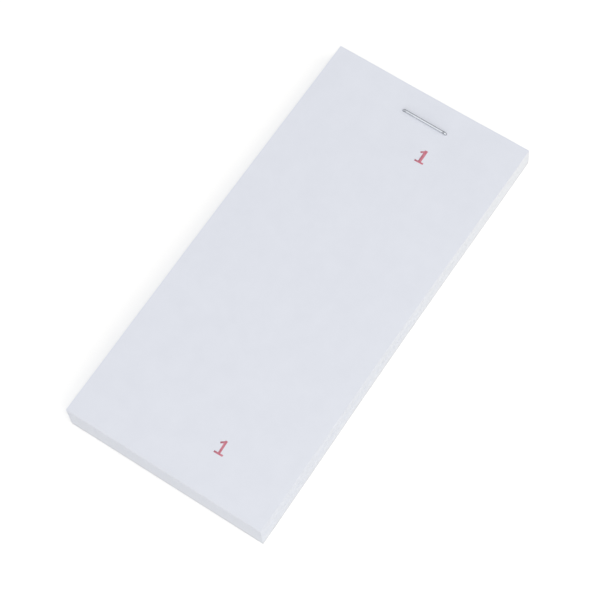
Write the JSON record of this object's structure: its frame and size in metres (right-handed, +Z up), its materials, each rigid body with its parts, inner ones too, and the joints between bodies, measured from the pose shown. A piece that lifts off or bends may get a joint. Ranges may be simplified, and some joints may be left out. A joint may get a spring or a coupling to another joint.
{
  "type": "order pad",
  "caption": "Slim stapled order pad: numbered loose-edge paper leaves on a backing board, held at the head by one wire staple; the top leaves turn up and over.",
  "frame": {"origin": "middle of the backing board's underside", "axes": "+X across the pad, +Y along the pad towards the stapled head, +Z up out of the top leaf"},
  "size_m": [0.064, 0.135, 0.0109],
  "materials": {
    "leaf_paper": "uncoated bright white writing paper with a cool tint",
    "backing_card": "uncoated white pulp board",
    "staple_wire": "drawn galvanised wire",
    "number_ink": "red numbering ink"
  },
  "bodies": {
    "stapled_block": {"backing_board": "backing_card", "staple": "staple_wire", "leaves_013_to_016": "leaf_paper", "leaves_017_to_020": "leaf_paper", "leaves_021_to_024": "leaf_paper", "leaves_025_to_028": "leaf_paper", "leaves_029_to_032": "leaf_paper", "leaves_033_to_036": "leaf_paper", "leaves_037_to_040": "leaf_paper", "leaves_041_to_044": "leaf_paper", "leaves_045_to_048": "leaf_paper", "leaves_049_to_052": "leaf_paper", "leaves_053_to_056": "leaf_paper", "leaves_057_to_060": "leaf_paper", "leaves_061_to_064": "leaf_paper", "leaves_065_to_068": "leaf_paper", "leaves_069_to_072": "leaf_paper", "leaves_073_to_076": "leaf_paper", "leaves_077_to_080": "leaf_paper", "leaves_081_to_084": "leaf_paper", "leaves_085_to_088": "leaf_paper", "leaves_089_to_092": "leaf_paper", "leaves_093_to_096": "leaf_paper", "leaves_097_to_100": "leaf_paper", "leaf_01_stub": "leaf_paper", "leaf_02_stub": "leaf_paper", "leaf_03_stub": "leaf_paper", "leaf_04_stub": "leaf_paper", "leaf_05_stub": "leaf_paper", "leaf_06_stub": "leaf_paper", "leaf_07_stub": "leaf_paper", "leaf_08_stub": "leaf_paper", "leaf_09_stub": "leaf_paper", "leaf_10_stub": "leaf_paper", "leaf_11_stub": "leaf_paper", "leaf_12_stub": "leaf_paper"},
    "leaf_01": {"leaf_01_sheet": "leaf_paper"},
    "leaf_02": {"leaf_02_sheet": "leaf_paper"},
    "leaf_03": {"leaf_03_sheet": "leaf_paper"},
    "leaf_04": {"leaf_04_sheet": "leaf_paper"},
    "leaf_05": {"leaf_05_sheet": "leaf_paper"},
    "leaf_06": {"leaf_06_sheet": "leaf_paper"},
    "leaf_07": {"leaf_07_sheet": "leaf_paper"},
    "leaf_08": {"leaf_08_sheet": "leaf_paper"},
    "leaf_09": {"leaf_09_sheet": "leaf_paper"},
    "leaf_10": {"leaf_10_sheet": "leaf_paper"},
    "leaf_11": {"leaf_11_sheet": "leaf_paper"},
    "leaf_12": {"leaf_12_sheet": "leaf_paper"}
  },
  "joints": [
    {"name": "leaf_01_turn", "type": "hinge", "parent": "stapled_block", "child": "leaf_01", "pos_m": [0, 0.05565, 0.00807], "axis": [-1, 0, 0], "range_deg": [0, 165]},
    {"name": "leaf_02_turn", "type": "hinge", "parent": "stapled_block", "child": "leaf_02", "pos_m": [0, 0.0553, 0.00801], "axis": [-1, 0, 0], "range_deg": [0, 152.5]},
    {"name": "leaf_03_turn", "type": "hinge", "parent": "stapled_block", "child": "leaf_03", "pos_m": [0, 0.05495, 0.00795], "axis": [-1, 0, 0], "range_deg": [0, 140]},
    {"name": "leaf_04_turn", "type": "hinge", "parent": "stapled_block", "child": "leaf_04", "pos_m": [0, 0.0546, 0.00789], "axis": [-1, 0, 0], "range_deg": [0, 127.5]},
    {"name": "leaf_05_turn", "type": "hinge", "parent": "stapled_block", "child": "leaf_05", "pos_m": [0, 0.05425, 0.00782], "axis": [-1, 0, 0], "range_deg": [0, 115]},
    {"name": "leaf_06_turn", "type": "hinge", "parent": "stapled_block", "child": "leaf_06", "pos_m": [0, 0.0539, 0.00776], "axis": [-1, 0, 0], "range_deg": [0, 102.5]},
    {"name": "leaf_07_turn", "type": "hinge", "parent": "stapled_block", "child": "leaf_07", "pos_m": [0, 0.05355, 0.0077], "axis": [-1, 0, 0], "range_deg": [0, 90]},
    {"name": "leaf_08_turn", "type": "hinge", "parent": "stapled_block", "child": "leaf_08", "pos_m": [0, 0.0532, 0.00764], "axis": [-1, 0, 0], "range_deg": [0, 77.5]},
    {"name": "leaf_09_turn", "type": "hinge", "parent": "stapled_block", "child": "leaf_09", "pos_m": [0, 0.05285, 0.00757], "axis": [-1, 0, 0], "range_deg": [0, 65]},
    {"name": "leaf_10_turn", "type": "hinge", "parent": "stapled_block", "child": "leaf_10", "pos_m": [0, 0.0525, 0.00751], "axis": [-1, 0, 0], "range_deg": [0, 52.5]},
    {"name": "leaf_11_turn", "type": "hinge", "parent": "stapled_block", "child": "leaf_11", "pos_m": [0, 0.05215, 0.00745], "axis": [-1, 0, 0], "range_deg": [0, 40]},
    {"name": "leaf_12_turn", "type": "hinge", "parent": "stapled_block", "child": "leaf_12", "pos_m": [0, 0.0518, 0.00738], "axis": [-1, 0, 0], "range_deg": [0, 27.5]}
  ],
  "couplings": [
    {"joint": "leaf_02_turn", "follows": "leaf_01_turn", "ratio": 0.92424},
    {"joint": "leaf_03_turn", "follows": "leaf_01_turn", "ratio": 0.84848},
    {"joint": "leaf_04_turn", "follows": "leaf_01_turn", "ratio": 0.77273},
    {"joint": "leaf_05_turn", "follows": "leaf_01_turn", "ratio": 0.69697},
    {"joint": "leaf_06_turn", "follows": "leaf_01_turn", "ratio": 0.62121},
    {"joint": "leaf_07_turn", "follows": "leaf_01_turn", "ratio": 0.54545},
    {"joint": "leaf_08_turn", "follows": "leaf_01_turn", "ratio": 0.4697},
    {"joint": "leaf_09_turn", "follows": "leaf_01_turn", "ratio": 0.39394},
    {"joint": "leaf_10_turn", "follows": "leaf_01_turn", "ratio": 0.31818},
    {"joint": "leaf_11_turn", "follows": "leaf_01_turn", "ratio": 0.24242},
    {"joint": "leaf_12_turn", "follows": "leaf_01_turn", "ratio": 0.16667}
  ]
}
